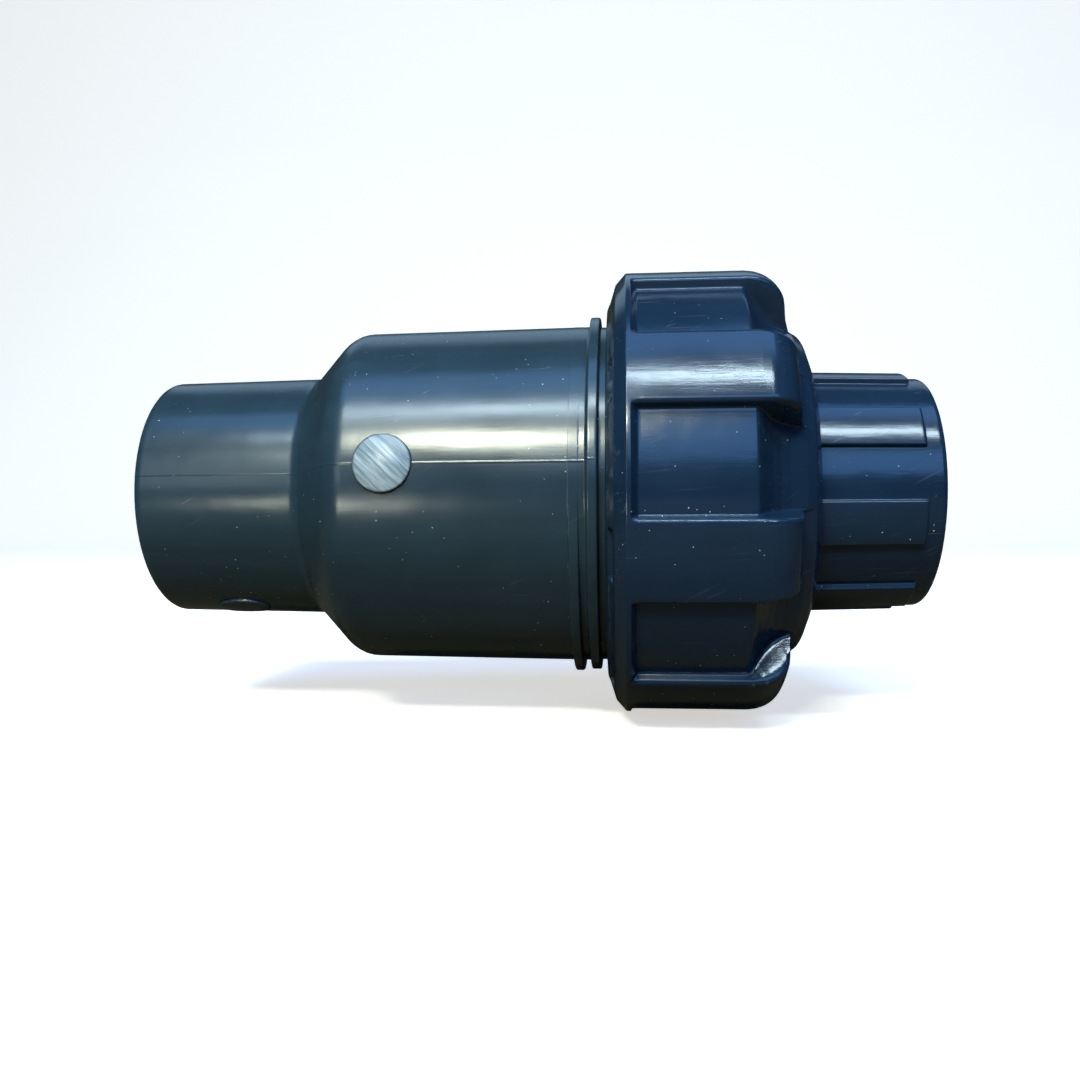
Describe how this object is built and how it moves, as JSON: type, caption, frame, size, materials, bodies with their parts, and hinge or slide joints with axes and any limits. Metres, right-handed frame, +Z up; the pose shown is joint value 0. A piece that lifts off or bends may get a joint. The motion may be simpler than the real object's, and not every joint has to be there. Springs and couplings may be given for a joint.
{
  "type": "spring check valve",
  "caption": "Inline spring check valve with two plain pipe sockets, a round chamber, and a lobed union nut that holds a loose end connector and the seat.",
  "frame": {"origin": "on the flow axis, at the middle of the valve's length", "axes": "+X along the flow axis towards the inlet, which is the union end; +Z up; the trimmed gate and the parting line face -Y. Water flows towards -X."},
  "size_m": [0.101, 0.0586, 0.0586],
  "materials": {
    "body_plastic": "satin moulded dark blue-grey rigid PVC with a mould parting line and a trimmed gate",
    "nut_plastic": "semi-gloss moulded dark blue-grey rigid PVC with fine handling scratches",
    "inner_plastic": "plain moulded dark grey rigid PVC",
    "bush_plastic": "off-white low-friction plastic",
    "seal_rubber": "black moulded rubber",
    "steel": "stainless steel"
  },
  "bodies": {
    "body": {"valve_body": "body_plastic", "seat_ring": "inner_plastic", "seat_ring_seal": "seal_rubber", "union_face_seal": "seal_rubber", "closing_spring": "steel", "spring_washer": "steel", "stem_guide": "inner_plastic", "guide_bush": "bush_plastic"},
    "poppet": {"poppet": "inner_plastic", "poppet_seal": "seal_rubber", "seal_clamp_plate": "inner_plastic", "clamp_screw": "steel", "clamp_screw_washer": "steel", "stem_clip": "steel"},
    "connector": {"end_connector": "nut_plastic"},
    "nut": {"union_nut": "nut_plastic"}
  },
  "joints": [
    {"name": "poppet_lift", "type": "slide", "parent": "body", "child": "poppet", "axis": [-1, 0, 0], "range_m": [0, 0.0055], "stiffness_N_per_m": 300, "springref_m": -0.004, "deforming": ["closing_spring"]},
    {"name": "connector_slide", "type": "slide", "parent": "body", "child": "connector", "axis": [1, 0, 0], "range_m": [0, 0.012]},
    {"name": "nut_turn", "type": "hinge", "parent": "connector", "child": "nut", "pos_m": [0.0097, 0, 0], "axis": [1, 0, 0], "range_deg": [0, 1080]}
  ],
  "couplings": [
    {"joint": "nut_turn", "follows": "connector_slide", "rad_per_m": 1570.8}
  ]
}
